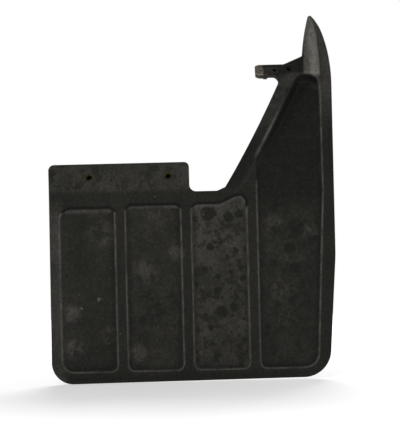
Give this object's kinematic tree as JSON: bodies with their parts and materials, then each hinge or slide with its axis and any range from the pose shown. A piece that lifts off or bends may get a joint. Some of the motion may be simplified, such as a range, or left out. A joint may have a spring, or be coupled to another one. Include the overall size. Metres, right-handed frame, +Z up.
{
  "type": "mud flap",
  "caption": "Moulded rubber mud flap with a bolting flange, recessed panels, and a raised hood and horn that follow the wheel arch.",
  "frame": {"origin": "midway between the two flange bolts, on the flange's front face", "axes": "+X to the flap's right as seen from the wheel side, +Y away from the wheel side, +Z up"},
  "size_m": [0.3438, 0.037, 0.4358],
  "materials": {
    "head_rubber": "matt moulded, dusty",
    "skirt_rubber": "matt moulded, dusty and water-spotted",
    "yellow_zinc": "yellow-passivated zinc plate",
    "nut_zinc": "yellow-passivated zinc plate",
    "tongue_steel": "plain rolled steel",
    "spring_steel": "phosphated spring steel with light rust"
  },
  "bodies": {
    "head": {"flap_head": "head_rubber", "nut_plate": "yellow_zinc", "clinch_nuts": "nut_zinc", "lug_tongue": "tongue_steel", "clip_nut": "spring_steel"},
    "skirt": {"flap_skirt": "skirt_rubber"}
  },
  "joints": [
    {"name": "skirt_flex", "type": "hinge", "parent": "head", "child": "skirt", "pos_m": [0.074, 0.00275, -0.022], "axis": [1, 0, 0], "range_deg": [-30, 45], "stiffness_Nm_per_rad": 0.8}
  ]
}
